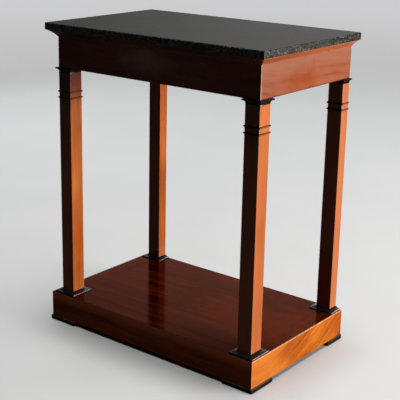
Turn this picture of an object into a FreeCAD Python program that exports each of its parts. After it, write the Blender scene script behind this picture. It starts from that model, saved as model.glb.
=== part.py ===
import FreeCAD, Part
import math
import os
import types
import Sketcher

# A square-pillared pier table: a loose stone slab on a moulded frieze, four pillars and a box plinth.
# The front faces -Y, the floor is Z = 0 and the origin is under the middle of the slab.
# Every driving size is in millimetres.
SIZES = {
    # The frieze's outer faces, which the pillars share, and the boards that it is made of.
    "frieze_width": 678,
    "frieze_depth": 418,
    "frieze_height": 104,
    "frieze_board": 20,
    "back_board": 12,
    "back_rebate": 10,
    # The stone slab, measured from the frieze's faces.
    "side_overhang": 25,
    "front_overhang": 27,
    "back_overhang": 3,
    "slab_thickness": 20,
    "slab_arris": 2.5,
    # The cove moulding under the slab.
    "cornice_height": 19,
    "cornice_reach": 20,
    "cornice_fillet": 2,
    "cornice_foot": 1,
    # The pillars, and the clear height between the platform and the frieze.
    "clear_height": 665,
    "pillar_width": 44,
    "back_pillar_depth": 33,
    "pillar_arris": 1,
    # Capitals, neck rings and bases.
    "capital_height": 13,
    "capital_fillet": 4,
    "capital_reach": 7,
    "ring_height": 5,
    "upper_ring_drop": 67,
    "ring_pitch": 17,
    "base_height": 8,
    "base_fillet": 3,
    "base_reach": 15,
    # The plinth, measured from the frieze's faces, and its platform board.
    "plinth_height": 74,
    "plinth_side_reach": 20,
    "plinth_front_reach": 23,
    "plinth_board": 20,
    "plinth_lip": 4,
    "plinth_arris": 1,
    "platform_thickness": 16,
    # The block feet, the back pair shallower.
    "foot_height": 12,
    "foot_width": 95,
    "foot_depth": 95,
    "back_foot_depth": 72,
    "foot_reach": 4,
    "foot_arris": 1.5,
    # Blocks, bearers and battens inside the frieze and the plinth.
    "frieze_block_width": 60,
    "frieze_block_height": 78,
    "plinth_block_width": 60,
    "bearer_width": 40,
    "bearer_thickness": 22,
    "bearer_spacing": 260,
    "housing_depth": 6,
    "batten_width": 50,
    "batten_thickness": 20,
    "glue_block_length": 70,
    "glue_block_size": 20,
    "glue_block_spacing": 300,
    # Dowels through capitals and bases, and the screws of the feet.
    "dowel_diameter": 14,
    "dowel_in_pillar": 30,
    "dowel_in_block": 30,
    "dowel_clearance": 0.15,
    "hole_room": 1,
    "screw_diameter": 4,
    "screw_head": 8,
    "screw_head_height": 3,
    "counterbore_depth": 4,
    "screw_in_block": 20,
    "screw_clearance": 0.15,
    # How far a cutting shape runs past what it cuts.
    "overrun": 5,
}
# A foot's two screws stand this share of a plinth block's width either side of its middle.
SCREW_PLACE_SHARE = 0.3
# The cove under the slab is hollowed by this share of its slope's length.
COVE_HOLLOW_SHARE = 0.05


class Size:
    """A length with the expression that gives it, so that a sketch starts true and stays bound."""

    def __init__(self, value, text):
        self.value = value
        self.text = text

    def __add__(self, other):
        return Size(self.value + other.value, f"{self.text} + {other.text}")

    def __sub__(self, other):
        return Size(self.value - other.value, f"{self.text} - ({other.text})")

    def __neg__(self):
        return Size(-self.value, f"-({self.text})")

    def __mul__(self, other):
        if isinstance(other, Size):
            return Size(self.value * other.value, f"({self.text}) * ({other.text})")
        return Size(self.value * other, f"({self.text}) * {other}")

    def __truediv__(self, other):
        if isinstance(other, Size):
            return Size(self.value / other.value, f"({self.text}) / ({other.text})")
        return Size(self.value / other, f"({self.text}) / {other}")


doc = FreeCAD.newDocument("pier_table")
sheet = doc.addObject("Spreadsheet::Sheet", "sizes")
for row, (alias, number) in enumerate(SIZES.items(), start=1):
    sheet.set(f"A{row}", str(number))
    sheet.setAlias(f"A{row}", alias)
doc.recompute()
size = types.SimpleNamespace(**{alias: Size(sheet.get(alias), f"sizes.{alias}") for alias in SIZES})
ZERO = Size(0.0, "0")
PIECES = []

# Heights of the main levels, from the floor up.
plinth_bottom = size.foot_height
plinth_top = plinth_bottom + size.plinth_height
platform_bottom = plinth_top - size.platform_thickness
frieze_bottom = plinth_top + size.clear_height
frieze_top = frieze_bottom + size.frieze_height
pillar_bottom = plinth_top + size.base_height
pillar_top = frieze_bottom - size.capital_height

# Faces of the frieze and the plinth in plan.
frieze_half = size.frieze_width / 2
frieze_front = (size.front_overhang - size.back_overhang - size.frieze_depth) / 2
frieze_back = frieze_front + size.frieze_depth
plinth_half = frieze_half + size.plinth_side_reach
plinth_front = frieze_front - size.plinth_front_reach


class Corner:
    """One of the four pillar places, with the axis of its dowels."""

    def __init__(self, row, side):
        self.front = row == "front"
        self.side = side
        self.name = f"{row}_{'left' if side < 0 else 'right'}"
        self.depth = size.pillar_width if self.front else size.back_pillar_depth
        self.inward = 1 if self.front else -1
        face = frieze_front if self.front else frieze_back
        board = size.frieze_board if self.front else size.back_board
        self.x = (frieze_half - size.pillar_width / 2) * side
        self.y = face + self.depth / 2 * self.inward
        self.dowel_x = self.x - size.frieze_board / 2 * side
        self.dowel_y = self.y + board / 2 * self.inward


CORNERS = [Corner(row, side) for row in ("front", "back") for side in (-1, 1)]


def new_body(label, x=ZERO, y=ZERO, z=ZERO):
    """Starts a piece whose place is bound to the sheet."""
    body = doc.addObject("PartDesign::Body", label)
    body.Label = label
    for axis, length in zip("xyz", (x, y, z)):
        body.setExpression(f"Placement.Base.{axis}", length.text)
    PIECES.append(body)
    return body


def sketch_on(body, plane, name, offset=ZERO):
    """Adds a sketch to one of the body's own planes, moved along its normal by the offset."""
    sketch = body.newObject("Sketcher::SketchObject", f"{body.Name}_{name}")
    support = next(part for part in body.Origin.OriginFeatures if part.Role == plane)
    sketch.AttachmentSupport = [(support, "")]
    sketch.MapMode = "FlatFace"
    sketch.setExpression("AttachmentOffset.Base.z", offset.text)
    return sketch


def constrain(sketch, kind, length, *what):
    """Adds one dimension to a sketch and binds it."""
    index = sketch.addConstraint(Sketcher.Constraint(kind, *what, length.value))
    sketch.setExpression(f"Constraints[{index}]", length.text)


def angle_from(centre, point):
    return math.atan2(point.y - centre.y, point.x - centre.x)


def draw_outline(sketch, corners, arcs=None):
    """Draws a closed outline through pinned corners.

    arcs gives, for the index of an edge, the centre of its arc and its turn, 1 when counter-clockwise."""
    points = [FreeCAD.Vector(u.value, v.value) for u, v in corners]
    ends = []
    for index, (first, second) in enumerate(zip(points, points[1:] + points[:1])):
        if arcs and index in arcs:
            centre_u, centre_v, turn = arcs[index]
            centre = FreeCAD.Vector(centre_u.value, centre_v.value)
            start, stop = (first, second) if turn > 0 else (second, first)
            from_angle = angle_from(centre, start)
            to_angle = angle_from(centre, stop)
            if to_angle < from_angle:
                to_angle += 2 * math.pi
            circle = Part.Circle(centre, FreeCAD.Vector(0, 0, 1), (first - centre).Length)
            edge = sketch.addGeometry(Part.ArcOfCircle(circle, from_angle, to_angle))
            ends.append((edge, 1, 2) if turn > 0 else (edge, 2, 1))
            constrain(sketch, "DistanceX", centre_u, -1, 1, edge, 3)
        else:
            edge = sketch.addGeometry(Part.LineSegment(first, second))
            ends.append((edge, 1, 2))
    for (edge, _, last), (following, opening, _) in zip(ends, ends[1:] + ends[:1]):
        sketch.addConstraint(Sketcher.Constraint("Coincident", edge, last, following, opening))
    for (edge, opening, _), (u, v) in zip(ends, corners):
        constrain(sketch, "DistanceX", u, -1, 1, edge, opening)
        constrain(sketch, "DistanceY", v, -1, 1, edge, opening)


def draw_rectangle(sketch, u_low, u_high, v_low, v_high):
    draw_outline(sketch, [(u_low, v_low), (u_high, v_low), (u_high, v_high), (u_low, v_high)])


def draw_circle(sketch, u, v, diameter):
    centre = FreeCAD.Vector(u.value, v.value)
    circle = sketch.addGeometry(Part.Circle(centre, FreeCAD.Vector(0, 0, 1), diameter.value / 2))
    constrain(sketch, "DistanceX", u, -1, 1, circle, 3)
    constrain(sketch, "DistanceY", v, -1, 1, circle, 3)
    constrain(sketch, "Diameter", diameter, circle)


def pad(body, sketch, ahead, behind=None):
    """Extrudes a sketch along its normal, and back from it where behind is given."""
    feature = body.newObject("PartDesign::Pad", f"{sketch.Name}_pad")
    feature.Profile = sketch
    feature.setExpression("Length", ahead.text)
    if behind:
        feature.SideType = "Two sides"
        feature.setExpression("Length2", behind.text)
    body.Tip = feature
    return feature


def cut(body, sketch, reach):
    """Cuts a sketch's outline out of a body, as far as reach to each side of the sketch."""
    feature = body.newObject("PartDesign::Pocket", f"{sketch.Name}_cut")
    feature.Profile = sketch
    feature.SideType = "Symmetric"
    feature.setExpression("Length", (reach * 2).text)
    body.Tip = feature


def cut_hole(body, name, x, y, diameter, depth, offset=ZERO):
    """Bores a hole square to the ground plane, to a depth from the level given by offset."""
    sketch = sketch_on(body, "XY_Plane", name, offset)
    draw_circle(sketch, x, y, diameter)
    cut(body, sketch, depth)


def round_edges(body, feature, radius, names=None):
    """Rounds the named edges of the last feature, or all of them."""
    doc.recompute()
    fillet = body.newObject("PartDesign::Fillet", f"{body.Name}_arris")
    fillet.Base = (feature, names or [])
    fillet.UseAllEdges = names is None
    fillet.setExpression("Radius", radius.text)
    body.Tip = fillet


def new_box(label, x, y, z):
    """A plain squared piece between pairs of faces."""
    box = doc.addObject("Part::Box", label)
    box.Label = label
    for side, axis, (low, high) in zip(("Length", "Width", "Height"), "xyz", (x, y, z)):
        box.setExpression(side, (high - low).text)
        box.setExpression(f"Placement.Base.{axis}", low.text)
    return box


def new_cylinder(label, x, y, z, diameter, height):
    cylinder = doc.addObject("Part::Cylinder", label)
    cylinder.setExpression("Radius", (diameter / 2).text)
    cylinder.setExpression("Height", height.text)
    for axis, length in zip("xyz", (x, y, z)):
        cylinder.setExpression(f"Placement.Base.{axis}", length.text)
    return cylinder


def new_group(label, members):
    """Keeps like pieces together as one node of separate solids."""
    group = doc.addObject("Part::Compound", label)
    group.Label = label
    group.Links = members
    PIECES.append(group)


def facing(section, arcs, sign):
    """Turns a moulding's section, written as distances out and up, to face along +u or -u."""
    corners = [(out * sign, up) for out, up in section]
    turned = {index: (out * sign, up, turn * sign) for index, (out, up, turn) in arcs.items()}
    return corners, turned


def set_out(path, arcs, away):
    """Moves a moulding's path outwards by a distance."""
    corners = [(away + out, up) for out, up in path]
    moved = {index: (away + out, up, turn) for index, (out, up, turn) in arcs.items()}
    return corners, moved


def cavetto_centre(shaft_end, lip_end):
    """The centre of a hollow that leaves its lip level and runs in to the shaft."""
    run = lip_end[0] - shaft_end[0]
    rise = lip_end[1] - shaft_end[1]
    radius = (run * run + rise * rise) / (rise * 2)
    return lip_end[0], lip_end[1] - radius


def cove_centre(foot_end, lip_end):
    """The centre of a shallow hollow between two points, on the side that faces out and down."""
    run = lip_end[0] - foot_end[0]
    rise = lip_end[1] - foot_end[1]
    away = 1 / (8 * COVE_HOLLOW_SHARE) - COVE_HOLLOW_SHARE / 2
    return foot_end[0] + run / 2 + rise * away, foot_end[1] + rise / 2 - run * away


def mitred_rails(name, section, arcs, half, front, z, inner, outer, height):
    """Makes a front rail and two side rails of one section, mitred where they meet.

    inner and outer are the section's least and greatest distance out from the faces at half and front."""
    k = size.overrun
    near = inner - k * 2
    far = outer + k * 2
    run_back = frieze_back - front
    rails = {}

    rail = new_body(f"{name}_front", y=front, z=z)
    sketch = sketch_on(rail, "YZ_Plane", "section")
    draw_outline(sketch, *facing(section, arcs, -1))
    pad(rail, sketch, half + outer + k, half + outer + k)
    mitres = sketch_on(rail, "XY_Plane", "mitres")
    for side in (-1, 1):
        draw_outline(mitres, [((half + near) * side, -near), ((half + far) * side, -far),
                              ((half + far) * side, -near)])
    cut(rail, mitres, height + k)
    rails["front"] = rail

    for side, hand in ((-1, "left"), (1, "right")):
        rail = new_body(f"{name}_{hand}", x=half * side, y=front, z=z)
        sketch = sketch_on(rail, "XZ_Plane", "section")
        draw_outline(sketch, *facing(section, arcs, side))
        pad(rail, sketch, outer + k, run_back)
        mitre = sketch_on(rail, "XY_Plane", "mitre")
        draw_outline(mitre, [(near * side, -near), (far * side, -far), (near * side, -far)])
        cut(rail, mitre, height + k)
        rails[hand] = rail
    return rails


def cut_back_rebates(rails, front, board, height):
    """Cuts the rebates in the side rails that the back board lies in."""
    k = size.overrun
    for side, hand in ((-1, "left"), (1, "right")):
        sketch = sketch_on(rails[hand], "XY_Plane", "rebate")
        far_end = frieze_back - front
        draw_rectangle(sketch, -(board + k) * side, (size.back_rebate - board) * side,
                       far_end - size.back_board, far_end + k)
        cut(rails[hand], sketch, height + k)


def make_slab():
    half = frieze_half + size.side_overhang
    depth = size.frieze_depth + size.front_overhang + size.back_overhang
    body = new_body("stone_top", z=frieze_top)
    sketch = sketch_on(body, "XY_Plane", "plan")
    draw_rectangle(sketch, -half, half, -depth / 2, depth / 2)
    slab = pad(body, sketch, size.slab_thickness)
    round_edges(body, slab, size.slab_arris)


def make_cornice():
    """A shallow cove with a small fillet at its foot and a taller one under the slab."""
    foot = size.cornice_foot
    reach = size.cornice_reach
    height = size.cornice_height
    lip = (reach, height - size.cornice_fillet)
    section = [(ZERO, ZERO), (foot, ZERO), (foot, foot), lip, (reach, height), (ZERO, height)]
    arcs = {2: (*cove_centre((foot, foot), lip), -1)}
    bottom = frieze_top - height
    mitred_rails("cornice", section, arcs, frieze_half, frieze_front, bottom, ZERO, reach, height)


def cut_housings(body, low, high):
    """Cuts the bearers' housings into the top of a frieze board, between two distances from its face."""
    sketch = sketch_on(body, "XY_Plane", "housings", size.frieze_height)
    for side in (-1, 1):
        middle = size.bearer_spacing / 2 * side
        draw_rectangle(sketch, middle - size.bearer_width / 2, middle + size.bearer_width / 2, low, high)
    cut(body, sketch, size.bearer_thickness)


def make_frieze():
    k = size.overrun
    board = size.frieze_board
    height = size.frieze_height
    section = [(-board, ZERO), (ZERO, ZERO), (ZERO, height), (-board, height)]
    rails = mitred_rails("frieze", section, {}, frieze_half, frieze_front, frieze_bottom,
                         -board, ZERO, height)
    cut_back_rebates(rails, frieze_front, board, height)
    cut_housings(rails["front"], board - size.housing_depth, board + k)

    half = frieze_half - board + size.back_rebate
    back = new_body("frieze_back", y=frieze_back, z=frieze_bottom)
    sketch = sketch_on(back, "XY_Plane", "plan")
    draw_rectangle(sketch, -half, half, -size.back_board, ZERO)
    pad(back, sketch, height)
    cut_housings(back, -(size.back_board + k), size.housing_depth - size.back_board)


def make_bearers():
    front = frieze_front + size.frieze_board - size.housing_depth
    back = frieze_back - size.back_board + size.housing_depth
    for side, hand in ((-1, "left"), (1, "right")):
        middle = size.bearer_spacing / 2 * side
        across = (middle - size.bearer_width / 2, middle + size.bearer_width / 2)
        upright = (frieze_top - size.bearer_thickness, frieze_top)
        PIECES.append(new_box(f"top_bearer_{hand}", across, (front, back), upright))


def make_corner_block(label, corner, x, y, z, width, height):
    """A square block that fills an inner corner of the frieze or the plinth."""
    body = new_body(label, x, y, z)
    sketch = sketch_on(body, "XY_Plane", "plan")
    draw_rectangle(sketch, ZERO, -width * corner.side, ZERO, width * corner.inward)
    pad(body, sketch, height)
    return body


def dowel_hole():
    return size.dowel_diameter + size.dowel_clearance * 2


def make_frieze_block(corner):
    x = (frieze_half - size.frieze_board) * corner.side
    y = frieze_front + size.frieze_board if corner.front else frieze_back - size.back_board
    body = make_corner_block(f"frieze_block_{corner.name}", corner, x, y, frieze_bottom,
                             size.frieze_block_width, size.frieze_block_height)
    cut_hole(body, "dowel_hole", corner.dowel_x - x, corner.dowel_y - y, dowel_hole(),
             size.dowel_in_block + size.hole_room)


def plinth_block_place(corner):
    x = (plinth_half - size.plinth_board) * corner.side
    y = plinth_front + size.plinth_board if corner.front else frieze_back - size.back_board
    return x, y


def screw_places(corner):
    """The two screws of a foot, on the diagonal of the block above it that clears the dowel."""
    x, y = plinth_block_place(corner)
    half = size.plinth_block_width / 2
    step = size.plinth_block_width * SCREW_PLACE_SHARE
    middle_x = x - half * corner.side
    middle_y = y + half * corner.inward
    return [(middle_x + step * way * corner.side, middle_y + step * way * corner.inward) for way in (-1, 1)]


def make_plinth_block(corner):
    x, y = plinth_block_place(corner)
    height = size.plinth_height - size.platform_thickness
    body = make_corner_block(f"plinth_block_{corner.name}", corner, x, y, plinth_bottom,
                             size.plinth_block_width, height)
    cut_hole(body, "dowel_hole", corner.dowel_x - x, corner.dowel_y - y, dowel_hole(),
             size.dowel_in_block + size.hole_room, height)
    for number, (screw_x, screw_y) in enumerate(screw_places(corner), start=1):
        cut_hole(body, f"pilot_hole_{number}", screw_x - x, screw_y - y,
                 size.screw_diameter + size.screw_clearance * 2, size.screw_in_block + size.hole_room)


def make_pillar(corner):
    """A square shaft with eased arrises and a dowel hole in each end."""
    half = size.pillar_width / 2
    height = pillar_top - pillar_bottom
    body = new_body(f"pillar_{corner.name}", corner.x, corner.y, pillar_bottom)
    sketch = sketch_on(body, "XY_Plane", "plan")
    draw_rectangle(sketch, -half, half, -corner.depth / 2, corner.depth / 2)
    shaft = pad(body, sketch, height)
    doc.recompute()
    upright = [f"Edge{number}" for number, edge in enumerate(shaft.Shape.Edges, start=1)
               if abs(edge.Curve.Direction.z) > abs(edge.Curve.Direction.x + edge.Curve.Direction.y)]
    round_edges(body, shaft, size.pillar_arris, upright)
    depth = size.dowel_in_pillar + size.hole_room
    for name, level in (("foot_hole", ZERO), ("head_hole", height)):
        cut_hole(body, name, corner.dowel_x - corner.x, corner.dowel_y - corner.y, dowel_hole(),
                 depth, level)


def make_collar(label, corner, z, path, arcs, reach, height):
    """A moulding that returns round a pillar with mitred corners, but not across a back pillar's back.

    path climbs from its lower to its upper edge, as distances out from the pillar and up."""
    k = size.overrun
    half = size.pillar_width / 2
    deep = corner.depth / 2
    body = new_body(label, corner.x, corner.y, z)

    right, right_arcs = set_out(path, arcs, half)
    left = [(-u, v) for u, v in reversed(right)]
    last_edge = 2 * len(path) - 2
    left_arcs = {last_edge - index: (-u, v, turn) for index, (u, v, turn) in right_arcs.items()}
    front_view = sketch_on(body, "XZ_Plane", "front_view")
    draw_outline(front_view, right + left, {**right_arcs, **left_arcs})
    behind = deep + reach + k if corner.front else deep
    pad(body, front_view, deep + reach + k, behind)

    side_waste = sketch_on(body, "YZ_Plane", "side_waste")
    outside = deep + reach + k * 2
    for sign in (-1, 1) if corner.front else (-1,):
        profile, profile_arcs = facing(*set_out(path, arcs, deep), sign)
        profile += [(profile[-1][0], height + k), (outside * sign, height + k), (outside * sign, -k),
                    (profile[0][0], -k)]
        draw_outline(side_waste, profile, profile_arcs)
    cut(body, side_waste, half + reach + k)
    return body


def cut_collar_hole(body, corner, height):
    cut_hole(body, "dowel_hole", corner.dowel_x - corner.x, corner.dowel_y - corner.y, dowel_hole(),
             height + size.overrun)


def make_capital(corner):
    """A cavetto under a thin fillet."""
    height = size.capital_height
    reach = size.capital_reach
    lip = (reach, height - size.capital_fillet)
    path = [(ZERO, ZERO), lip, (reach, height)]
    arcs = {0: (*cavetto_centre((ZERO, ZERO), lip), -1)}
    body = make_collar(f"capital_{corner.name}", corner, pillar_top, path, arcs, reach, height)
    cut_collar_hole(body, corner, height)


def make_base(corner):
    """A low cavetto that spreads to a thin fillet."""
    height = size.base_height
    reach = size.base_reach
    lip = (reach, size.base_fillet)
    path = [(reach, ZERO), lip, (ZERO, height)]
    arcs = {1: (*cavetto_centre((ZERO, height), lip), -1)}
    body = make_collar(f"base_{corner.name}", corner, plinth_top, path, arcs, reach, height)
    cut_collar_hole(body, corner, height)


def make_rings(corner):
    """Two half-round beads let round the neck of a pillar."""
    k = size.overrun
    height = size.ring_height
    half = size.pillar_width / 2
    path = [(ZERO, ZERO), (ZERO, height)]
    arcs = {0: (ZERO, height / 2, 1)}
    back = corner.depth / 2 if corner.front else corner.depth / 2 + k
    for name, drop in (("upper", size.upper_ring_drop), ("lower", size.upper_ring_drop + size.ring_pitch)):
        z = frieze_bottom - drop - height / 2
        body = make_collar(f"{name}_ring_{corner.name}", corner, z, path, arcs, height / 2, height)
        opening = sketch_on(body, "XY_Plane", "opening")
        draw_rectangle(opening, -half, half, -corner.depth / 2, back)
        cut(body, opening, height + k)


def make_plinth():
    """Boards with a rounded upper arris and a rebate that leaves a narrow lip round the platform."""
    board = size.plinth_board
    height = size.plinth_height
    lip = size.plinth_lip
    arris = size.plinth_arris
    shelf = height - size.platform_thickness
    section = [(-board, ZERO), (ZERO, ZERO), (ZERO, height - arris), (-arris, height), (-lip, height),
               (-lip, shelf), (-board, shelf)]
    arcs = {2: (-arris, height - arris, 1)}
    rails = mitred_rails("plinth", section, arcs, plinth_half, plinth_front, plinth_bottom,
                         -board, ZERO, height)
    cut_back_rebates(rails, plinth_front, board, height)

    half = plinth_half - board + size.back_rebate
    back = (frieze_back - size.back_board, frieze_back)
    PIECES.append(new_box("plinth_back", (-half, half), back, (plinth_bottom, platform_bottom)))


def make_platform():
    half = plinth_half - size.plinth_lip
    front = plinth_front + size.plinth_lip
    body = new_body("platform_board", y=front, z=platform_bottom)
    sketch = sketch_on(body, "XY_Plane", "plan")
    draw_rectangle(sketch, -half, half, ZERO, frieze_back - front)
    pad(body, sketch, size.platform_thickness)
    for corner in CORNERS:
        cut_hole(body, f"dowel_hole_{corner.name}", corner.dowel_x, corner.dowel_y - front, dowel_hole(),
                 size.platform_thickness + size.overrun)


def make_batten():
    half = size.batten_width / 2
    run = (plinth_front + size.plinth_board, frieze_back - size.back_board)
    upright = (platform_bottom - size.batten_thickness, platform_bottom)
    PIECES.append(new_box("plinth_batten", (-half, half), run, upright))


def make_glue_blocks():
    """Short square blocks rubbed into the angles under the platform board."""
    long = size.glue_block_length
    thick = size.glue_block_size
    upright = (platform_bottom - thick, platform_bottom)
    front = plinth_front + size.plinth_board
    inner = plinth_half - size.plinth_board
    middle = (frieze_back + plinth_front) / 2
    blocks = []
    for side, hand in ((-1, "left"), (1, "right")):
        place = size.glue_block_spacing / 2 * side
        blocks.append(new_box(f"front_glue_block_{hand}", (place - long / 2, place + long / 2),
                              (front, front + thick), upright))
        across = (inner - thick, inner) if side > 0 else (-inner, thick - inner)
        blocks.append(new_box(f"side_glue_block_{hand}", across,
                              (middle - long / 2, middle + long / 2), upright))
    new_group("plinth_glue_blocks", blocks)


def make_dowels():
    upper_height = size.dowel_in_pillar + size.capital_height + size.dowel_in_block
    lower_height = size.dowel_in_pillar + size.base_height + size.platform_thickness + size.dowel_in_block
    for name, z, height in (("upper", pillar_top - size.dowel_in_pillar, upper_height),
                            ("lower", platform_bottom - size.dowel_in_block, lower_height)):
        pins = [new_cylinder(f"{name}_dowel_{corner.name}", corner.dowel_x, corner.dowel_y, z,
                             size.dowel_diameter, height) for corner in CORNERS]
        new_group(f"{name}_dowels", pins)


def make_foot(corner):
    """A low block with softened edges, proud of the plinth at its outer faces, bored for two screws."""
    x = plinth_half * corner.side
    y = plinth_front if corner.front else frieze_back
    reach = size.foot_reach
    body = new_body(f"foot_{corner.name}", x, y)
    sketch = sketch_on(body, "XY_Plane", "plan")
    proud = reach if corner.front else ZERO
    depth = size.foot_depth if corner.front else size.back_foot_depth
    draw_rectangle(sketch, reach * corner.side, (reach - size.foot_width) * corner.side,
                   -proud * corner.inward, (depth - proud) * corner.inward)
    block = pad(body, sketch, size.foot_height)
    round_edges(body, block, size.foot_arris)
    for number, (screw_x, screw_y) in enumerate(screw_places(corner), start=1):
        cut_hole(body, f"screw_hole_{number}", screw_x - x, screw_y - y,
                 size.screw_diameter + size.screw_clearance * 2, size.foot_height + size.overrun)
        cut_hole(body, f"counterbore_{number}", screw_x - x, screw_y - y,
                 size.screw_head + size.screw_clearance * 2, size.counterbore_depth)


def make_foot_screws():
    screws = []
    for corner in CORNERS:
        for number, (x, y) in enumerate(screw_places(corner), start=1):
            name = f"foot_screw_{corner.name}_{number}"
            seat = size.counterbore_depth
            head = new_cylinder(f"{name}_head", x, y, seat - size.screw_head_height,
                                size.screw_head, size.screw_head_height)
            shank = new_cylinder(f"{name}_shank", x, y, seat, size.screw_diameter,
                                 plinth_bottom - seat + size.screw_in_block)
            screw = doc.addObject("Part::MultiFuse", name)
            screw.Shapes = [head, shank]
            screws.append(screw)
    new_group("foot_screws", screws)


make_slab()
make_cornice()
make_frieze()
make_bearers()
make_plinth()
make_platform()
make_batten()
make_glue_blocks()
for place in CORNERS:
    make_frieze_block(place)
    make_pillar(place)
    make_capital(place)
    make_rings(place)
    make_base(place)
    make_plinth_block(place)
    make_foot(place)
make_dowels()
make_foot_screws()
doc.recompute()

for item in doc.Objects:
    if "Invalid" in item.State or "Error" in item.State:
        raise RuntimeError(f"{item.Label} did not build: {item.State}")
for piece in PIECES:
    if piece.Shape.isNull() or not piece.Shape.isValid():
        raise RuntimeError(f"{piece.Label} has no valid shape")

os.makedirs("parts", exist_ok=True)
for piece in PIECES:
    piece.Shape.exportStep(f"parts/{piece.Label}.step")
whole = Part.makeCompound([piece.Shape for piece in PIECES]).BoundBox
print(f"{len(PIECES)} pieces, {whole.XLength:.1f} x {whole.YLength:.1f} x {whole.ZLength:.1f} mm")
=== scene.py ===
# %% [markdown]
# # A pier table under studio light
#
# A pier table is a narrow show table, made to stand between two windows. This one has a loose stone slab, a
# mahogany frieze with a cove under the slab, square pillars with black mouldings, and a box plinth on low
# feet. The CAD model already holds every piece with its true shape, so this lesson adds what CAD leaves
# out: softened arrises, polished veneer, black stain, speckled stone, light, and a camera.

# %% Load the frame
import math
from types import SimpleNamespace

import bmesh
import bpy
from mathutils import Matrix, Vector


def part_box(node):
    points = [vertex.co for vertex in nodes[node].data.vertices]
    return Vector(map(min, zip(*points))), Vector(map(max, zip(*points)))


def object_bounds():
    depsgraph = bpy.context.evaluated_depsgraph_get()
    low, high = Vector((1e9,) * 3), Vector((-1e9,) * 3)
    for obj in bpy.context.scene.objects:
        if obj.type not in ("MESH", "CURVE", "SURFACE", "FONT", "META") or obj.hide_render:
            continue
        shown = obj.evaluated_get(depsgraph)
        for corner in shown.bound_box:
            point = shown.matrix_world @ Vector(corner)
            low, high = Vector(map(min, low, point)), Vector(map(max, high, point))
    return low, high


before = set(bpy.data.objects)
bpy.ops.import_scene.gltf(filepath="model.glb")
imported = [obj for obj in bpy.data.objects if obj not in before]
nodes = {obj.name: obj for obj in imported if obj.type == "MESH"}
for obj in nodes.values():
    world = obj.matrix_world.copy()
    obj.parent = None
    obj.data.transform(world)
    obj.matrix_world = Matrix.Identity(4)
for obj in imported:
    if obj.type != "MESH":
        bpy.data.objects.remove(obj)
cad_low, cad_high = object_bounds()
print(f"loaded {len(nodes)} pieces, {[round(v, 3) for v in cad_high - cad_low]} m")

# %% [markdown]
# ## The camera
#
# The table was seen from its right front, a little from above. The lens, the place and the small roll come
# from a fit of the table's known edges to their lines in the picture. A camera could also be aimed with a
# Track To constraint, but that can't roll it. A camera's own X, Y and Z axes are picture right, picture up
# and straight back, so a matrix with these as columns turns it exactly.

# %% Place the camera
FRAME_PIXELS = 400
FOCAL_PIXELS = 1002.0
VIEW_CENTRE_PIXELS = (180.0, 180.0)
VIEW_AZIMUTH = math.radians(38.93)
VIEW_HEIGHT_ANGLE = math.radians(16.12)
VIEW_ROLL = math.radians(0.86)
VIEW_POINT = Vector((1.6545, -2.1233, 1.2259))

level = math.cos(VIEW_HEIGHT_ANGLE)
back = Vector((math.sin(VIEW_AZIMUTH) * level, -math.cos(VIEW_AZIMUTH) * level,
               math.sin(VIEW_HEIGHT_ANGLE)))
right = Vector((math.cos(VIEW_AZIMUTH), math.sin(VIEW_AZIMUTH), 0.0))
turned_right = Matrix.Rotation(VIEW_ROLL, 3, back) @ right
turned_up = back.cross(turned_right)
turn = Matrix((turned_right, turned_up, back)).transposed().to_4x4()

lens = bpy.data.cameras.new("table_camera")
lens.sensor_width = 36.0
lens.lens = FOCAL_PIXELS / FRAME_PIXELS * lens.sensor_width
lens.shift_x = 0.5 - VIEW_CENTRE_PIXELS[0] / FRAME_PIXELS
lens.shift_y = VIEW_CENTRE_PIXELS[1] / FRAME_PIXELS - 0.5
lens.clip_end = 100.0
camera = bpy.data.objects.new("table_camera", lens)
camera.matrix_world = Matrix.Translation(VIEW_POINT) @ turn
bpy.context.scene.collection.objects.link(camera)
bpy.context.scene.camera = camera
print(f"camera: {lens.lens:.1f} mm lens at {[round(v, 2) for v in VIEW_POINT]}")

# %% [markdown]
# ## Building materials from small steps
#
# A material is a graph of nodes. It could be drawn by hand in the Shader Editor. Here each helper adds one
# node and gives back its output, so that a graph reads like a recipe. A socket takes either a plain value
# or another node's output, and fill() knows which.

# %% Nodes and sockets
def fill(tree, node, sockets):
    """Sets each named socket to a plain value, or links it to another node's output."""
    for key, value in sockets.items():
        if isinstance(value, bpy.types.NodeSocket):
            tree.links.new(value, node.inputs[key])
        else:
            node.inputs[key].default_value = value


def put(tree, kind, sockets=None, **settings):
    """Adds a node, gives it its settings, and fills its sockets."""
    node = tree.nodes.new(f"ShaderNode{kind}")
    for name, value in settings.items():
        setattr(node, name, value)
    fill(tree, node, sockets or {})
    return node


print("nodes can be put and filled")

# %% Numbers and places
def calc(tree, operation, first, second=0.0):
    return put(tree, "Math", {0: first, 1: second}, operation=operation).outputs[0]


def vector_calc(tree, operation, first, second=(0.0, 0.0, 0.0)):
    return put(tree, "VectorMath", {0: first, 1: second}, operation=operation).outputs[0]


def length(tree, vector):
    return put(tree, "VectorMath", {0: vector}, operation="LENGTH").outputs["Value"]


def split(tree, vector):
    """The X, Y and Z of a place or a direction."""
    return put(tree, "SeparateXYZ", {0: vector}).outputs


def between(tree, value, low, high, to_low=0.0, to_high=1.0):
    """Maps a value smoothly from one range to another, and stops at the ends."""
    sockets = {"Value": value, "From Min": low, "From Max": high, "To Min": to_low, "To Max": to_high}
    return put(tree, "MapRange", sockets, interpolation_type="SMOOTHSTEP").outputs[0]


print("numbers and places can be worked with")

# %% [markdown]
# Noise keeps near its middle: nearly all of it lies between 0.3 and 0.7. So vary() takes that stretch as
# the whole of it, where a finish has to move between two values.

# %% Noise and colours
NOISE_LOW, NOISE_HIGH = 0.3, 0.7


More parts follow.
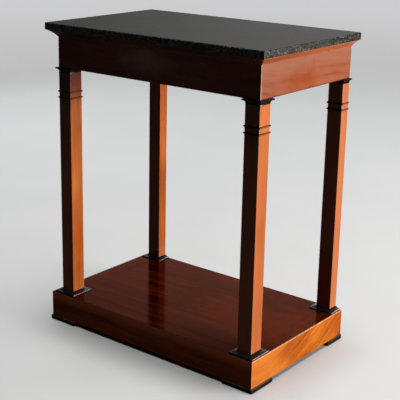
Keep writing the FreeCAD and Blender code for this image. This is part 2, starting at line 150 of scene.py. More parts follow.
def noise(tree, vector, scale, detail=2.0, roughness=0.5):
    sockets = {"Vector": vector, "Scale": scale, "Detail": detail, "Roughness": roughness}
    return put(tree, "TexNoise", sockets).outputs[0]


def vary(tree, value, low, high):
    return between(tree, value, NOISE_LOW, NOISE_HIGH, low, high)


def colour(red, green, blue):
    return (red, green, blue, 1.0)


def blend(tree, factor, first, second, way="MIX"):
    sockets = {0: factor, 6: first, 7: second}
    return put(tree, "Mix", sockets, data_type="RGBA", blend_type=way).outputs[2]


def ramp(tree, factor, *stops):
    """Colours a value by stops of (place, colour)."""
    node = put(tree, "ValToRGB", {"Fac": factor})
    elements = node.color_ramp.elements
    while len(elements) < len(stops):
        elements.new(0.5)
    for element, (place, paint) in zip(elements, stops):
        element.position = place
        element.color = paint
    return node.outputs[0]


print("noise and colours ready")

# %% Groups and finishes
def new_group(name, inputs, outputs):
    """Starts a node group with named sockets, and gives its inputs' and outputs' nodes."""
    tree = bpy.data.node_groups.new(name, "ShaderNodeTree")
    for title, kind in inputs:
        tree.interface.new_socket(title, in_out="INPUT", socket_type=f"NodeSocket{kind}")
    for title, kind in outputs:
        tree.interface.new_socket(title, in_out="OUTPUT", socket_type=f"NodeSocket{kind}")
    return tree, tree.nodes.new("NodeGroupInput").outputs, tree.nodes.new("NodeGroupOutput").inputs


def use_group(tree, group, sockets):
    return put(tree, "Group", sockets, node_tree=group).outputs


def new_finish(name):
    """Starts a material, and gives it with its graph, its shader and its object coordinates."""
    material = bpy.data.materials.new(name)
    material.use_nodes = True
    tree = material.node_tree
    shader = next(n for n in tree.nodes if n.type == "BSDF_PRINCIPLED")
    place = put(tree, "TexCoord").outputs["Object"]
    return SimpleNamespace(material=material, tree=tree, shader=shader, place=place)


print("groups and finishes can be started")

# %% [markdown]
# ## The floor
#
# A pale floor carries the soft shadow, and grows a little lighter far away, so that it runs into the
# background without an edge. A pale floor would also throw light up onto the shaded front and under the
# mouldings. A Light Path node keeps that away: the camera sees the pale tone, and light meets a dark one.

# %% Make the floor
FLOOR_HALF = 30.0
FLOOR_FAR = colour(0.66, 0.66, 0.67)
FLOOR_TO_LIGHT = colour(0.015, 0.015, 0.015)

floor_shape = bmesh.new()
bmesh.ops.create_grid(floor_shape, x_segments=1, y_segments=1, size=FLOOR_HALF)
floor_mesh = bpy.data.meshes.new("floor")
floor_shape.to_mesh(floor_mesh)
floor_shape.free()
floor = bpy.data.objects.new("floor", floor_mesh)
bpy.context.scene.collection.objects.link(floor)

pale_floor = new_finish("pale_floor")
tree, place = pale_floor.tree, pale_floor.place
mottle = noise(tree, place, 3.0, 4.0)
tone = ramp(tree, mottle, (NOISE_LOW, colour(0.45, 0.45, 0.45)), (NOISE_HIGH, colour(0.47, 0.47, 0.468)))
tone = blend(tree, between(tree, length(tree, place), 2.0, 9.0), tone, FLOOR_FAR)
seen = put(tree, "LightPath").outputs["Is Camera Ray"]
fill(tree, pale_floor.shader, {"Base Color": blend(tree, seen, FLOOR_TO_LIGHT, tone), "Roughness": 0.7})
floor.data.materials.append(pale_floor.material)
print(f"floor: {FLOOR_HALF * 2:.0f} m square")

# %% [markdown]
# ## The light
#
# The main light is a softbox at the right, a little behind the front faces, as a window there would be. It
# catches every face that looks right and leaves the front in shade. Soft light from straight above draws
# the slab's upper face and the shadow on the floor. Two weak softboxes, at the left and the rear, keep the
# far faces readable when the table is turned. They are hidden from polish, where they would show as
# patches.
#
# Polish needs something pale to mirror. A photographer stands a card there, and two dim lamps that only
# polish can see do the same: a high one for the slab, and a low one, under the slab's height, for the
# platform. Their spread is narrowed, so that faces to the side of them don't mirror them.

# %% A softbox
TABLE_MIDDLE = Vector((0.0, 0.0, 0.45))


def direction(azimuth, height_angle):
    """The way out from the table to a lamp, with azimuth 0 in front and 90 at the right."""
    a = math.radians(azimuth)
    e = math.radians(height_angle)
    return Vector((math.sin(a) * math.cos(e), -math.cos(a) * math.cos(e), math.sin(e)))


def softbox(name, azimuth, height_angle, distance, width, height, power, tone):
    """Hangs a rectangular lamp that faces the middle of the table."""
    lamp = bpy.data.lights.new(name, "AREA")
    lamp.shape = "RECTANGLE"
    lamp.size = width
    lamp.size_y = height
    lamp.energy = power
    lamp.color = tone
    away = direction(azimuth, height_angle)
    holder = bpy.data.objects.new(name, lamp)
    holder.location = TABLE_MIDDLE + away * distance
    holder.rotation_euler = away.to_track_quat("Z", "Y").to_euler()
    bpy.context.scene.collection.objects.link(holder)
    print(f"{name}: {power} W from {azimuth} degrees")
    return holder


# %% Lamps for the wood
DAYLIGHT = (1.0, 0.98, 0.95)
COOL_LIGHT = (0.95, 0.97, 1.0)

softbox("window_light", azimuth=109.0, height_angle=7.0, distance=3.2, width=2.0, height=1.5, power=150.0,
        tone=DAYLIGHT)
for name, azimuth, height_angle in (("left_fill", 248.0, 25.0), ("rear_fill", 172.0, 30.0)):
    fill_light = softbox(name, azimuth, height_angle, distance=3.5, width=2.5, height=2.0, power=30.0,
                         tone=COOL_LIGHT)
    fill_light.visible_glossy = False

overhead = bpy.data.lights.new("overhead_light", "SUN")
overhead.energy = 3.0
overhead.angle = math.radians(20)
bpy.context.scene.collection.objects.link(bpy.data.objects.new("overhead_light", overhead))
print("overhead light from straight above")

# %% Cards for the polish
CARD_TONE = (1.0, 0.98, 0.96)
CARD_SPREAD = math.radians(66)

cards = [
    softbox("pale_card", azimuth=200.0, height_angle=22.0, distance=2.3, width=6.0, height=2.4, power=2.5,
            tone=CARD_TONE),
    softbox("low_card", azimuth=212.0, height_angle=2.0, distance=1.4, width=4.0, height=0.72, power=1.95,
            tone=CARD_TONE),
]
for card in cards:
    card.data.spread = CARD_SPREAD
    card.visible_diffuse = False

# %% The background
BACKGROUND_SEEN = colour(0.62, 0.63, 0.65)
BACKGROUND_TO_LIGHT = colour(0.020, 0.021, 0.022)

world = bpy.data.worlds.new("studio")
bpy.context.scene.world = world
world.use_nodes = True
tree = world.node_tree
background = next(n for n in tree.nodes if n.type == "BACKGROUND")
seen = put(tree, "LightPath").outputs["Is Camera Ray"]
fill(tree, background, {"Color": blend(tree, seen, BACKGROUND_TO_LIGHT, BACKGROUND_SEEN)})
bpy.context.scene.view_settings.view_transform = "Standard"
print("pale background set")

# %% [markdown]
# ## Soft arrises
#
# Planed wood never keeps a knife edge: a maker breaks each arris with a pass of fine paper, and two hundred
# years of dusting round it further. The edges could be cut in CAD, but modifiers leave the CAD mesh as it
# is: a Weld joins its loose triangles, and a Bevel rounds what is sharp. The pillars, slab and feet have
# their arrises already.

# %% Ease the arrises
ARRIS = 0.0012
FINE_ARRIS = 0.0006
SHARP = math.radians(40)
BOARDS = ("frieze_front", "frieze_left", "frieze_right", "cornice",
          "plinth_front", "plinth_left", "plinth_right")
FINE_PIECES = ("capital", "base", "platform_board")


def ease(starts, width):
    """Rounds the sharp edges of every piece whose name starts in one of these ways."""
    eased = [name for name in nodes if name.startswith(starts)]
    for name in eased:
        weld = nodes[name].modifiers.new("weld", "WELD")
        weld.merge_threshold = 0.00001
        bevel = nodes[name].modifiers.new("arris", "BEVEL")
        bevel.width = width
        bevel.segments = 2
        bevel.limit_method = "ANGLE"
        bevel.angle_limit = SHARP
        bevel.harden_normals = False
    print(f"eased {len(eased)} pieces by {width * 1000:.1f} mm")


ease(BOARDS, ARRIS)
ease(FINE_PIECES, FINE_ARRIS)

# %% [markdown]
# ## What the woods share
#
# Every wood here has streaks that run with the grain, finer lines within them, and slow clouds of light and
# dark. One group makes all three from coordinates whose Z runs with the grain, so each wood only brings its
# own scales. Wander bends the streaks, because no tree grows quite straight.

# %% The grain group
grain_group, into, out = new_group(
    "grain",
    [("Place", "Vector"), ("Across", "Float"), ("Along", "Float"), ("Wander", "Float")],
    [("Streaks", "Float"), ("Fine", "Float"), ("Cloud", "Float")])
drift = put(grain_group, "TexNoise", {"Vector": into["Place"], "Scale": 3.0, "Detail": 1.0}).outputs[1]
centred = vector_calc(grain_group, "SUBTRACT", drift, (0.5, 0.5, 0.5))
pushed = put(grain_group, "VectorMath", {0: centred, "Scale": into["Wander"]}, operation="SCALE").outputs[0]
moved = vector_calc(grain_group, "ADD", into["Place"], pushed)
scales = put(grain_group, "CombineXYZ", {0: into["Across"], 1: into["Across"], 2: into["Along"]}).outputs[0]
stretched = vector_calc(grain_group, "MULTIPLY", moved, scales)
grain_group.links.new(noise(grain_group, stretched, 1.0, 4.0, 0.6), out["Streaks"])
grain_group.links.new(noise(grain_group, stretched, 7.0, 3.0, 0.6), out["Fine"])
grain_group.links.new(noise(grain_group, moved, 6.0), out["Cloud"])
print("grain group made")

# %% [markdown]
# Hands and dusters wear the polish off the arrises first. Every board here is square to the table, so a
# rounded arris is where the normal looks along none of the three axes. A second group finds it, and a noise
# breaks it up as wear does. On the mahogany the pale arris is wear together with a painted highlight.

# %% The arris group
arris_group, into, out = new_group(
    "arris_wear_and_highlight", [("Place", "Vector"), ("Wear", "Float")], [("Mask", "Float")])
facing = put(arris_group, "NewGeometry").outputs["True Normal"]
along_x, along_y, along_z = split(arris_group, vector_calc(arris_group, "ABSOLUTE", facing))
squareness = calc(arris_group, "MAXIMUM", along_x, calc(arris_group, "MAXIMUM", along_y, along_z))
rounded = between(arris_group, squareness, 0.995, 0.94)
patchy = between(arris_group, noise(arris_group, into["Place"], 45.0, 3.0), 0.35, 0.6, 0.25, 1.0)
worn = calc(arris_group, "MULTIPLY", calc(arris_group, "MULTIPLY", rounded, patchy), into["Wear"])
arris_group.links.new(worn, out["Mask"])
print("arris group made")

# %% [markdown]
# ## Mahogany
#
# The show wood is mahogany veneer under old polish: red-brown, with ribbon streaks along the grain. The
# grain stands upright on the pillars and runs with the length of every board, so the coordinates are put in
# another order for each. The plinth's ends were cut from a crotch, where the grain sweeps upwards, so there
# the height is first lowered by a curve that rises towards the back.

# %% Turning the grain
UPRIGHT = "xyz"
ALONG_X = "yzx"
ALONG_Y = "xzy"


def grain_place(tree, place, order, lean=0.0, curl=0.0):
    """Puts the axes in an order that ends with the grain, and bends boards along Y upwards to the back."""
    axes = dict(zip("xyz", split(tree, place)))
    if lean or curl:
        run = calc(tree, "ADD", axes["y"], -cad_low.y)
        slope = calc(tree, "ADD", calc(tree, "MULTIPLY", run, curl), lean)
        axes["z"] = calc(tree, "SUBTRACT", axes["z"], calc(tree, "MULTIPLY", run, slope))
    return put(tree, "CombineXYZ", {number: axes[axis] for number, axis in enumerate(order)}).outputs[0]


print("the grain can stand upright or run along X or Y")

# %% [markdown]
# A veneer starts as wood: streaks, clouds and fine lines are added up to one tone, which a ramp turns into
# three colours of the same tree. Patches of age and of painted light come next, below. Last comes the
# polish, with pores that just break the surface. The wood stays open in between, so that any number of
# patches can be laid on it.

# %% Veneer
WEAR_AND_HIGHLIGHT = colour(0.80, 0.58, 0.42)
FINE_SHARE = 0.10


def tint(finish, mask, paint, way="MIX"):
    """Lays a colour over the wood where a mask says so."""
    finish.wood = blend(finish.tree, mask, finish.wood, paint, way)


def veneer(name, order, deep, middle, pale, across, along, wear=0.0, lean=0.0, curl=0.0, cloudy=0.2,
           spread=0.14):
    """Starts a finish and colours its wood; polish() below finishes it."""
    finish = new_finish(name)
    tree = finish.tree
    turned = grain_place(tree, finish.place, order, lean, curl)
    grain = {"Place": turned, "Across": across, "Along": along, "Wander": 0.05}
    finish.figure = use_group(tree, grain_group, grain)
    tone = calc(tree, "MULTIPLY", finish.figure["Streaks"], 1.0 - FINE_SHARE - cloudy)
    tone = calc(tree, "ADD", tone, calc(tree, "MULTIPLY", finish.figure["Cloud"], cloudy))
    tone = calc(tree, "ADD", tone, calc(tree, "MULTIPLY", finish.figure["Fine"], FINE_SHARE))
    finish.wood = ramp(tree, tone, (0.5 - spread, deep), (0.5, middle), (0.5 + spread, pale))
    finish.dull = None
    if wear:
        # Pale arrises: wear, with a painted highlight.
        arris = use_group(tree, arris_group, {"Place": finish.place, "Wear": wear})
        tint(finish, arris["Mask"], WEAR_AND_HIGHLIGHT)
    return finish


print("veneer can be cut and tinted")

# %% Polish
DULL_ROUGHNESS = 0.8
PORE_DEPTH = 0.0003
COAT_ROUGHNESS = 0.12


def polish(finish, gloss, coat, pores=0.06):
    """Gives a veneer its shine, with pores that just break the surface."""
    tree, fine = finish.tree, finish.figure["Fine"]
    rough = vary(tree, fine, gloss, gloss + pores)
    if finish.dull is not None:
        rough = calc(tree, "MAXIMUM", rough, calc(tree, "MULTIPLY", finish.dull, DULL_ROUGHNESS))
    bump = put(tree, "Bump", {"Height": fine, "Strength": pores, "Distance": PORE_DEPTH}).outputs[0]
    fill(tree, finish.shader, {"Base Color": finish.wood, "Roughness": rough, "Normal": bump,
                               "Coat Weight": coat, "Coat Roughness": COAT_ROUGHNESS})
    return finish.material


print("veneer can be polished")

# %% [markdown]
# ## Masks for age and painted light
#
# Some masks here paint shade, shadow, sheen and highlights into the colour; others lay on stains and wear
# from hands, damp and dusters. Such patches could be painted by hand onto a UV map. Here each is a mask
# that a few nodes work out from the place on the table and the way a face looks, so a size or a colour can
# be changed at any time.

# %% Painted shade
FRONT_SHADE = colour(0.42, 0.34, 0.26)
LIP_SHADE = colour(0.018, 0.005, 0.003)
LEFT = -1


def facing_of(tree):
    """The way each face looks, as X, Y and Z."""
    return split(tree, put(tree, "NewGeometry").outputs["True Normal"])


def shade_front(finish):
    """Paints shade on the faces that look forward, away from the light at the side."""
    front = between(finish.tree, facing_of(finish.tree)[1], -0.5, -0.9)
    tint(finish, front, FRONT_SHADE, "MULTIPLY")


def shade_lip(finish, side=None):
    """Paints shade on the narrow upper face of a plinth board, on one side of the table or all along."""
    tree = finish.tree
    lip = between(tree, facing_of(tree)[2], 0.2, 0.6)
    if side:
        across = split(tree, finish.place)[0]
        lip = calc(tree, "MULTIPLY", lip, between(tree, across, 0.1 * side, 0.2 * side))
    # Painted shade on the lip.
    tint(finish, lip, LIP_SHADE)
    finish.dull = lip


print("shade masks ready")

# %% Patches, and rubbed edges with a painted highlight
def soft_spot(finish, centre, reach, strength):
    """A patch with ragged edges round a point, as (x, y, z) and its reach along each."""
    tree = finish.tree
    offset = vector_calc(tree, "SUBTRACT", finish.place, centre)
    far = length(tree, vector_calc(tree, "DIVIDE", offset, reach))
    ragged = calc(tree, "ADD", far, calc(tree, "MULTIPLY", noise(tree, finish.place, 25.0, 3.0), 1.2))
    return between(tree, ragged, 1.6, 0.6, 0.0, strength)


def rub_and_highlight_edges(finish, low, high, strength):
    """Wears a side board pale along its front edge and its top edge, with a painted highlight there."""
    tree = finish.tree
    _, y, z = split(tree, finish.place)
    to_edge = calc(tree, "MINIMUM", calc(tree, "SUBTRACT", y, low.y), calc(tree, "SUBTRACT", high.z, z))
    rub_and_glint = between(tree, to_edge, 0.0008, 0.0024, strength, 0.0)
    rub_and_glint = calc(tree, "MULTIPLY", rub_and_glint, between(tree, facing_of(tree)[2], 0.9, 0.6))
    patchy = between(tree, noise(tree, finish.place, 60.0, 3.0), 0.35, 0.6, 0.35, 1.0)
    tint(finish, calc(tree, "MULTIPLY", rub_and_glint, patchy), WEAR_AND_HIGHLIGHT)


print("patch and edge masks ready")

# %% [markdown]
# ## The pillars
#
# The pillars are veneered with upright grain, orange on the sides; their forward faces are painted darker,
# as shade. The right pair, and the foot of every pillar, most of all at the back, are painted paler and
# pinker, as a sheen. The left pair has two deeper patches, and is painted nearly brown under the frieze, as
# shadow.

# %% Dress the pillars
LEFT_X = -0.317
FRONT_Y, BACK_Y = -0.175, 0.205
PINK_SHEEN = colour(0.50, 0.154, 0.060)
DEEP_ORANGE = colour(0.45, 0.072, 0.006)
DEEP_RED = colour(0.37, 0.072, 0.009)
FRIEZE_SHADOW = colour(0.17, 0.026, 0.006)

pillar = veneer("mahogany_upright", UPRIGHT, colour(0.34, 0.070, 0.008), colour(0.48, 0.112, 0.014),
                colour(0.62, 0.160, 0.026), across=60.0, along=3.0, wear=0.5, cloudy=0.35, spread=0.12)
tree = pillar.tree
x, y, z = split(tree, pillar.place)
on_right = between(tree, x, -0.1, 0.1)
low_down = between(tree, z, 0.17, 0.09)
towards_back = between(tree, y, 0.0, 0.1, 0.35, 0.8)
# A paler, pinker tone painted as a sheen on the right pair and the feet.
pink_sheen = calc(tree, "MULTIPLY", calc(tree, "MAXIMUM", on_right, low_down), towards_back)
tint(pillar, pink_sheen, PINK_SHEEN)
deep_low = soft_spot(pillar, centre=(LEFT_X, FRONT_Y, 0.27), reach=(0.06, 0.06, 0.13), strength=0.7)
tint(pillar, deep_low, DEEP_ORANGE)
deep_high = soft_spot(pillar, centre=(LEFT_X, BACK_Y, 0.60), reach=(0.06, 0.06, 0.17), strength=0.7)
tint(pillar, deep_high, DEEP_RED)
# Painted shadow on the left pillars under the frieze.
under_frieze = calc(tree, "SUBTRACT", between(tree, z, 0.62, 0.72, 0.0, 0.95), on_right)
tint(pillar, calc(tree, "MAXIMUM", under_frieze, 0.0), FRIEZE_SHADOW)
# Painted shade on the faces that look forward.
shade_front(pillar)
pillar_wood = polish(pillar, gloss=0.20, coat=0.1)
print("pillars: upright grain, bleached at the right and at the foot")

# %% [markdown]
# ## The frieze
#
# The front board is painted dark, as the shade of a face that looks away from the light. A wide haze over
# the middle, and a greyer spot within it, are a painted reflection in its polish. The board has little
# shine.

# %% The frieze's front
SHEEN_HAZE = colour(0.36, 0.16, 0.12)
REFLECTION_SPOT = colour(0.42, 0.24, 0.20)

# Painted shade: the front is a darker copy of the side wood.
front = veneer("mahogany_front", ALONG_X, colour(0.135, 0.024, 0.010), colour(0.190, 0.036, 0.016),
               colour(0.240, 0.052, 0.024), across=60.0, along=4.0, wear=0.15)
# Painted reflection: a wide haze and a paler spot over the middle.
sheen_haze = soft_spot(front, centre=(0.04, cad_low.y, 0.800), reach=(0.30, 1.0, 0.075), strength=0.35)
tint(front, sheen_haze, SHEEN_HAZE)
painted_reflection = soft_spot(front, centre=(-0.02, cad_low.y, 0.805), reach=(0.13, 1.0, 0.045), strength=0.6)
tint(front, painted_reflection, REFLECTION_SPOT)
front_wood = polish(front, gloss=0.26, coat=0.0)
fill(front.tree, front.shader, {"Specular IOR Level": 0.25})
print("frieze front: dark, with a bloom in the wax")

# %% [markdown]
# The side boards stand in the light. A paler tone towards the top is a painted sheen, and the right one has
# a deep red stain along its lower half, with a runner where something once dripped. The edges are worn
# pale, with a painted highlight on them, and a dark line is painted along the foot, above the capitals.

# %% The frieze's sides
SIDE_SHEEN = colour(0.325, 0.125, 0.075)
SIDE_STAIN = colour(0.285, 0.052, 0.006)
SIDE_RUNNER = colour(0.300, 0.075, 0.010)
FOOT_LINE_DARK = colour(0.05, 0.015, 0.008)

side_low, side_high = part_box("frieze_right")
side = veneer("mahogany_side", ALONG_Y, colour(0.250, 0.058, 0.019), colour(0.300, 0.080, 0.033),
              colour(0.325, 0.094, 0.043), across=70.0, along=5.0, wear=0.8, lean=-0.12, cloudy=0.35,
              spread=0.09)
tree = side.tree
height = split(tree, side.place)[2]
# Painted sheen: paler towards the top.
sheen_top = between(tree, height, 0.775, 0.83, 0.0, 0.6)
tint(side, sheen_top, SIDE_SHEEN)
stain = soft_spot(side, centre=(cad_high.x, -0.02, 0.775), reach=(1.0, 0.13, 0.040), strength=1.0)
tint(side, stain, SIDE_STAIN)
runner = soft_spot(side, centre=(cad_high.x, 0.035, 0.800), reach=(1.0, 0.016, 0.060), strength=0.6)
tint(side, runner, SIDE_RUNNER)
rub_and_highlight_edges(side, side_low, side_high, strength=0.7)
# A dark line painted along the foot of the board.
foot_line = between(tree, calc(tree, "SUBTRACT", height, side_low.z), 0.0016, 0.0030, 0.85, 0.0)
tint(side, foot_line, FOOT_LINE_DARK)
side_wood = polish(side, gloss=0.23, coat=0.1, pores=0.015)
print("frieze sides: stained, with rubbed edges")

# %% [markdown]
# The cove under the slab is solid mahogany, run with a moulding plane, so its grain follows the frieze. A
# hollow gathers its own shade, so it needs no patches. The front cove is painted dark, as shade, and the
# side coves orange.

# %% The cove
def cove(name, order, deep, middle, pale):
    return polish(veneer(name, order, deep, middle, pale, across=60.0, along=4.0), gloss=0.26, coat=0.1)


# Painted shade: the front cove is a dark copy of the side cove.
front_cove_wood = cove("mahogany_front_cove", ALONG_X, colour(0.08, 0.019, 0.008),
                       colour(0.12, 0.029, 0.012), colour(0.16, 0.042, 0.018))
side_cove_wood = cove("mahogany_side_cove", ALONG_Y, colour(0.35, 0.080, 0.022),
                      colour(0.43, 0.107, 0.034), colour(0.51, 0.145, 0.052))
print("cove: dark in front, orange at the sides")

# %% [markdown]
# ## The plinth
#
# The plinth's ends have the liveliest veneer on the table: golden streaks that sweep up towards the back
# over a red-brown ground, palest at the front corner. Shoes and brooms have rubbed the edges, and a painted
# highlight lies along them. The lip beside the platform is painted dark on the left, as shade, and keeps
# the wood's colour on the right.

# %% The plinth's ends
FLAME_PALE = colour(0.66, 0.180, 0.022)

plinth_side = veneer("mahogany_flame", ALONG_Y, colour(0.25, 0.038, 0.001), colour(0.46, 0.100, 0.0035),
                     colour(0.64, 0.190, 0.014), across=45.0, along=6.0, wear=0.5, lean=-0.05, curl=0.9,
                     cloudy=0.4, spread=0.11)
tree = plinth_side.tree
from_front = calc(tree, "SUBTRACT", split(tree, plinth_side.place)[1], cad_low.y)
pale_corner = between(tree, from_front, 0.0, 0.25, 0.6, 0.0)
tint(plinth_side, pale_corner, FLAME_PALE)
rub_and_highlight_edges(plinth_side, *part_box("plinth_right"), strength=0.45)
# Painted shade on the left lip.
shade_lip(plinth_side, side=LEFT)
plinth_side_wood = polish(plinth_side, gloss=0.22, coat=0.1)
print("plinth ends: swept grain, pale at the front corner")

# %% [markdown]
# The plinth's front is painted as dark as the frieze's, as shade, and its lip darker still. A warm brown
# band along its top is a painted sheen. Its weak shine is tinted red, as light is that has passed through
# shellac.

# %% The plinth's front
SHEEN_BROWN = colour(0.52, 0.135, 0.06)
RED_SHINE = colour(1.0, 0.45, 0.3)

# Painted shade: the front is a darker copy of the plinth's wood.
plinth_front = veneer("mahogany_plinth_front", ALONG_X, colour(0.15, 0.028, 0.008),
                      colour(0.21, 0.042, 0.012), colour(0.27, 0.060, 0.018), across=60.0, along=4.0,
                      wear=0.1)
tree = plinth_front.tree
height = split(tree, plinth_front.place)[2]
# Painted sheen: a warm brown band along the top.
sheen_band = between(tree, height, 0.056, 0.078, 0.0, 0.6)
tint(plinth_front, sheen_band, SHEEN_BROWN)
shade_lip(plinth_front)
plinth_front_wood = polish(plinth_front, gloss=0.26, coat=0.0)
fill(tree, plinth_front.shader, {"Specular IOR Level": 0.08, "Specular Tint": RED_SHINE})
print("plinth front: dark, with a rubbed band")

# %% [markdown]
# ## The platform
#
# The platform is the best polished board of all, and mirrors the pillars. Its shellac is red-brown, so it
# is a tinted coat over the wood, which also tints what the wood's own surface mirrors. Most of what one
# sees is that mirror, so the wood under it is dark, with a golden patch towards the right. It is painted
# deeper at the left end and along the front, as shade. Dirt has settled in the joint with the lip: the
# distance to the board's nearest edge finds that line.

# %% The platform's wood
GOLDEN = colour(0.120, 0.038, 0.006)
LEFT_END_SHADE = colour(0.018, 0.004, 0.002)
FRONT_EDGE_SHADE = colour(0.012, 0.002, 0.001)
JOINT_DIRT = colour(0.012, 0.004, 0.003)

platform_low, platform_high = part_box("platform_board")
platform = veneer("mahogany_platform", ALONG_X, colour(0.010, 0.003, 0.001), colour(0.030, 0.008, 0.003),
                  colour(0.085, 0.040, 0.020), across=44.0, along=3.0, cloudy=0.3, spread=0.11)
golden = soft_spot(platform, centre=(0.22, 0.02, platform_high.z), reach=(0.34, 0.22, 1.0), strength=0.8)
tint(platform, golden, GOLDEN)
tree = platform.tree
x, y, _ = split(tree, platform.place)
# Painted shade at the left end.
left_end = between(tree, x, -0.08, -0.30, 0.0, 0.55)
tint(platform, left_end, LEFT_END_SHADE)
to_end = calc(tree, "SUBTRACT", platform_high.x, calc(tree, "ABSOLUTE", x))
to_front = calc(tree, "SUBTRACT", y, platform_low.y)
to_back = calc(tree, "SUBTRACT", platform_high.y, y)
# Painted shade along the front.
front_band = between(tree, to_front, 0.13, 0.06, 0.0, 0.7)
tint(platform, front_band, FRONT_EDGE_SHADE)
to_joint = calc(tree, "MINIMUM", calc(tree, "MINIMUM", to_end, to_front), to_back)
dirt = between(tree, to_joint, 0.001, 0.006, 0.85, 0.0)
tint(platform, dirt, JOINT_DIRT)
print(f"platform: joint line inside {[round(v, 3) for v in platform_high - platform_low]} m")

# %% The platform's shellac
SHELLAC_TINT = colour(0.98, 0.565, 0.43)

platform_wood = polish(platform, gloss=0.10, coat=1.0, pores=0.04)
fill(tree, platform.shader, {"Specular IOR Level": 0.06, "Coat IOR": 1.03, "Coat Tint": SHELLAC_TINT})
print("platform: red-brown shellac")

# %% [markdown]
# ## Black mouldings
#
# Capitals, rings, bases and feet are a plain hardwood stained black, to set off the red veneer. The
# mouldings are polished bright, so that each hollow draws a line of light; the feet are scuffed and dull.
# The stain wears through on the feet, which are brown on their arrises. The rings are painted brown on
# their crests at the sides, as a highlight. The bases have a painted highlight: a pale line along the top
# of their fillet, on the faces that look sideways. One function makes all four finishes, and each asks for
# the marks that it has.

# %% Black stain
WORN_FOOT = colour(0.14, 0.085, 0.055)
FILLET_HIGHLIGHT = colour(0.40, 0.36, 0.35)
CREST_HIGHLIGHT = colour(0.30, 0.120, 0.050)
STAIN_PORES = 0.04
STAIN_UNEVEN = 0.06


def sideways(tree):
    """How far each face looks to the left or the right."""
    return calc(tree, "ABSOLUTE", facing_of(tree)[0])


def black_stain(name, gloss, shine=0.3, wear=0.0, line=None, crest=0.0):
    """Black stain that is worn at its arrises, with painted highlights along a line at some height or on
    its crests.
    """
    finish = new_finish(name)
    tree, place = finish.tree, finish.place
    grain = {"Place": place, "Across": 120.0, "Along": 60.0, "Wander": 0.02}
    figure = use_group(tree, grain_group, grain)
    stain = ramp(tree, figure["Cloud"],
                 (0.3, colour(0.004, 0.004, 0.004)), (0.75, colour(0.011, 0.009, 0.008)))
    if wear:
        arris = use_group(tree, arris_group, {"Place": place, "Wear": wear})
        stain = blend(tree, arris["Mask"], stain, WORN_FOOT)
    # Painted highlight: a pale line along the fillet, on the faces that look sideways.
    if line:
        above = calc(tree, "SUBTRACT", split(tree, place)[2], line)
        painted_light = calc(tree, "MULTIPLY", between(tree, above, -0.0016, -0.0010),
                      between(tree, above, 0.0003, 0.0))
        painted_light = calc(tree, "MULTIPLY", painted_light, between(tree, sideways(tree), 0.15, 0.35))
        patchy = between(tree, noise(tree, place, 60.0, 3.0), 0.3, 0.6, 0.4, 1.0)
        stain = blend(tree, calc(tree, "MULTIPLY", painted_light, patchy), stain, FILLET_HIGHLIGHT)
    # Painted highlight: brown on the crests that look sideways.
    if crest:
        stain = blend(tree, between(tree, sideways(tree), 0.55, 0.95, 0.0, crest), stain, CREST_HIGHLIGHT)
    fine = figure["Fine"]
    bump = put(tree, "Bump", {"Height": fine, "Strength": STAIN_PORES, "Distance": PORE_DEPTH}).outputs[0]
    fill(tree, finish.shader, {"Base Color": stain, "Normal": bump, "Specular IOR Level": shine,
                               "Roughness": vary(tree, fine, gloss, gloss + STAIN_UNEVEN)})
    return finish.material


print("black stain can be mixed")

# %% Stain the mouldings
BASE_FILLET = 0.003

base_low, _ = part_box("base_front_right")
black_capital = black_stain("black_moulding", gloss=0.11)
black_base = black_stain("black_base", gloss=0.11, shine=0.12, line=base_low.z + BASE_FILLET)
black_ring = black_stain("black_ring", gloss=0.20, crest=0.6)
black_foot = black_stain("black_foot", gloss=0.30, wear=0.8)
print(f"black mouldings stained, with a worn line {BASE_FILLET * 1000:.0f} mm up the bases")

# %% [markdown]
# ## The stone
#
# The slab is a dark grey-green stone full of small crystals: green, violet-grey, black, and a few near
# white. Voronoi cells are a good stand-in for crystals, because each cell has its own random colour. Two
# sizes of cell keep the speckle from looking regular, and a noise bends their straight walls.

# %% Crystals
stone_finish = new_finish("speckled_stone")
tree, place = stone_finish.tree, stone_finish.place
waver = put(tree, "TexNoise", {"Vector": place, "Scale": 90.0, "Detail": 2.0}).outputs[1]
bend = {0: waver, 1: (0.006, 0.006, 0.006), 2: place}
bent_place = put(tree, "VectorMath", bend, operation="MULTIPLY_ADD").outputs[0]
crystals = put(tree, "TexVoronoi", {"Vector": bent_place, "Scale": 240.0}).outputs["Color"]
grit = put(tree, "TexVoronoi", {"Vector": bent_place, "Scale": 520.0}).outputs["Color"]
crystal_kind = put(tree, "SeparateColor", {0: crystals}).outputs[0]
grit_kind = put(tree, "SeparateColor", {0: grit}).outputs[1]
speckle = ramp(tree, crystal_kind, (0.0, colour(0.002, 0.002, 0.002)), (0.35, colour(0.006, 0.008, 0.004)),
               (0.6, colour(0.022, 0.028, 0.015)), (0.8, colour(0.042, 0.030, 0.033)),
               (1.0, colour(0.080, 0.078, 0.058)))
salt = calc(tree, "MULTIPLY", between(tree, grit_kind, 0.92, 0.96), 0.9)
speckle = blend(tree, salt, speckle, colour(0.22, 0.215, 0.18))
print("stone: crystals of two sizes, with a little salt")

# %% [markdown]
# The upper face is honed smooth and dulled by use, so the crystals hardly show there, while they stay clear
# on the edges. The way a face looks tells the two apart.

# %% The honed face
HONED_SHARE = 0.96
EDGE_ROUGHNESS, HONED_ROUGHNESS = 0.30, 0.27

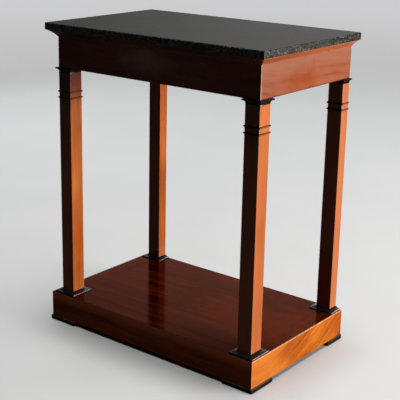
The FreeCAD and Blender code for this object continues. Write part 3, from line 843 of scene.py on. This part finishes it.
honed = between(tree, facing_of(tree)[2], 0.8, 0.98, 0.0, HONED_SHARE)
cloud = noise(tree, place, 9.0, 3.0)
smooth = ramp(tree, cloud,
              (NOISE_LOW, colour(0.018, 0.018, 0.017)), (NOISE_HIGH, colour(0.030, 0.030, 0.029)))
rough = between(tree, honed, 0.0, HONED_SHARE, EDGE_ROUGHNESS, HONED_ROUGHNESS)
rough = calc(tree, "MULTIPLY", vary(tree, cloud, 0.95, 1.05), rough)
fill(tree, stone_finish.shader, {"Base Color": blend(tree, honed, speckle, smooth), "Roughness": rough,
                                 "Specular IOR Level": 0.34})
print("stone: honed on top")

# %% [markdown]
# ## What doesn't show
#
# The back boards, blocks, bearers and battens are bare pine, brown with age, sawn and never polished. The
# dowels are the same wood in small. It has the same grain group as the mahogany, with more relief.

# %% Bare pine
pine = new_finish("bare_pine")
tree = pine.tree
turned = grain_place(tree, pine.place, ALONG_X)
figure = use_group(tree, grain_group, {"Place": turned, "Across": 70.0, "Along": 3.0, "Wander": 0.05})
wood = ramp(tree, figure["Streaks"], (0.35, colour(0.21, 0.105, 0.042)), (0.5, colour(0.36, 0.200, 0.085)),
            (0.68, colour(0.45, 0.275, 0.130)))
grime = between(tree, figure["Cloud"], 0.4, 0.7, 0.0, 0.45)
wood = blend(tree, grime, wood, colour(0.14, 0.080, 0.040))
bump = put(tree, "Bump", {"Height": figure["Fine"], "Strength": 0.4, "Distance": 0.0006}).outputs[0]
fill(tree, pine.shader, {"Base Color": wood, "Roughness": vary(tree, figure["Fine"], 0.6, 0.85),
                         "Normal": bump})
print("pine made")

# %% [markdown]
# The screws in the feet are dull steel. The marks of the turning run round each one, so the noise is
# squeezed along the height.

# %% Screw steel
steel = new_finish("dull_steel")
tree = steel.tree
turning = put(tree, "Mapping", {"Vector": steel.place, "Scale": (40.0, 40.0, 900.0)}).outputs[0]
marks = noise(tree, turning, 1.0, 3.0)
metal = ramp(tree, marks, (NOISE_LOW, colour(0.22, 0.215, 0.21)), (NOISE_HIGH, colour(0.40, 0.395, 0.385)))
fill(tree, steel.shader, {"Base Color": metal, "Roughness": vary(tree, marks, 0.35, 0.55), "Metallic": 1.0})
print("steel made")

# %% [markdown]
# ## Dress the pieces
#
# Each CAD node keeps its mesh and only changes what stands in its material slots. The names of the pieces
# start with their kind, so a list of starts is enough to sort them.

# %% Assign the finishes
FINISHES = [
    (("stone_top",), stone_finish.material),
    (("pillar_",), pillar_wood),
    (("frieze_front",), front_wood),
    (("frieze_left", "frieze_right"), side_wood),
    (("cornice_front",), front_cove_wood),
    (("cornice_left", "cornice_right"), side_cove_wood),
    (("plinth_front",), plinth_front_wood),
    (("plinth_left", "plinth_right"), plinth_side_wood),
    (("platform_board",), platform_wood),
    (("capital_",), black_capital),
    (("upper_ring_", "lower_ring_"), black_ring),
    (("base_",), black_base),
    (("foot_front_", "foot_back_"), black_foot),
    (("frieze_back", "frieze_block", "plinth_back", "plinth_block", "plinth_batten", "plinth_glue",
      "top_bearer", "upper_dowels", "lower_dowels"), pine.material),
    (("foot_screws",), steel.material),
]
for starts, material in FINISHES:
    dressed = [name for name in nodes if name.startswith(starts)]
    for name in dressed:
        nodes[name].data.materials.clear()
        nodes[name].data.materials.append(material)
    print(f"{material.name}: {len(dressed)} pieces")
